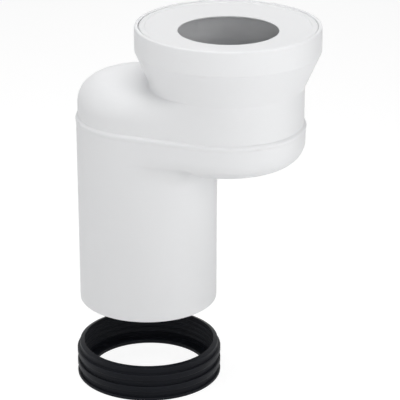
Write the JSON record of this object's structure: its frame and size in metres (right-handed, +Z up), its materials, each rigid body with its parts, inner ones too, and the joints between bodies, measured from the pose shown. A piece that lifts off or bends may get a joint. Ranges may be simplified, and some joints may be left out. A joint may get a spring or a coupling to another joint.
{
  "type": "offset toilet pan connector",
  "caption": "White offset pan connector: a sealed cup for the pan's outlet, an eccentric chamber and a plain drain spigot, with a loose black drain seal below it.",
  "frame": {"origin": "centre of the drain spigot's lower end", "axes": "+Z up along the spigot's axis, +X from the spigot's axis to the cup's axis"},
  "size_m": [0.195, 0.1428, 0.2988],
  "materials": {
    "white_plastic": "satin",
    "white_seal": "matte",
    "black_rubber": "satin"
  },
  "bodies": {
    "root": {"upper_shell": "white_plastic", "lower_shell": "white_plastic", "pan_seal": "white_seal", "drain_seal": "black_rubber"}
  },
  "joints": []
}
